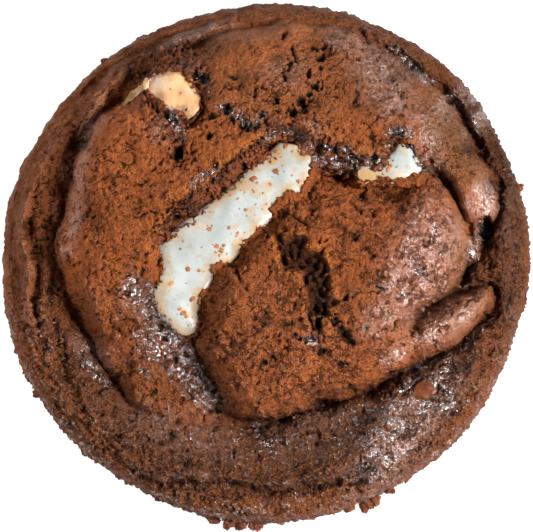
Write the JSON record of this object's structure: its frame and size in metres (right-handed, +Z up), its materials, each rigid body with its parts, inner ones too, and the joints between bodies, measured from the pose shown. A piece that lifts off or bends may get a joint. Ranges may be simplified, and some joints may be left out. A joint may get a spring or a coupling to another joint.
{
  "type": "smore cookie",
  "caption": "Thick round chocolate cookie with a folded rim and a split top that shows white and toasted marshmallow filling.",
  "frame": {"origin": "centre of the whole cookie's bounding box, on the table", "axes": "+Z up, +X to the right and +Y away from a reader who sees the long split rise from lower left to upper right"},
  "size_m": [0.0992, 0.1022, 0.0252],
  "materials": {
    "chocolate_dough": "baked, dry and finely porous, with gooey dark patches in the folds",
    "marshmallow_white": "soft, smooth and slightly moist",
    "marshmallow_toasted": "soft, browned by the oven",
    "melted_chocolate": "wet and glossy"
  },
  "bodies": {
    "root": {"cookie": "chocolate_dough", "marshmallow_main": "marshmallow_white", "marshmallow_right": "marshmallow_white", "marshmallow_toasted": "marshmallow_toasted"}
  },
  "joints": []
}
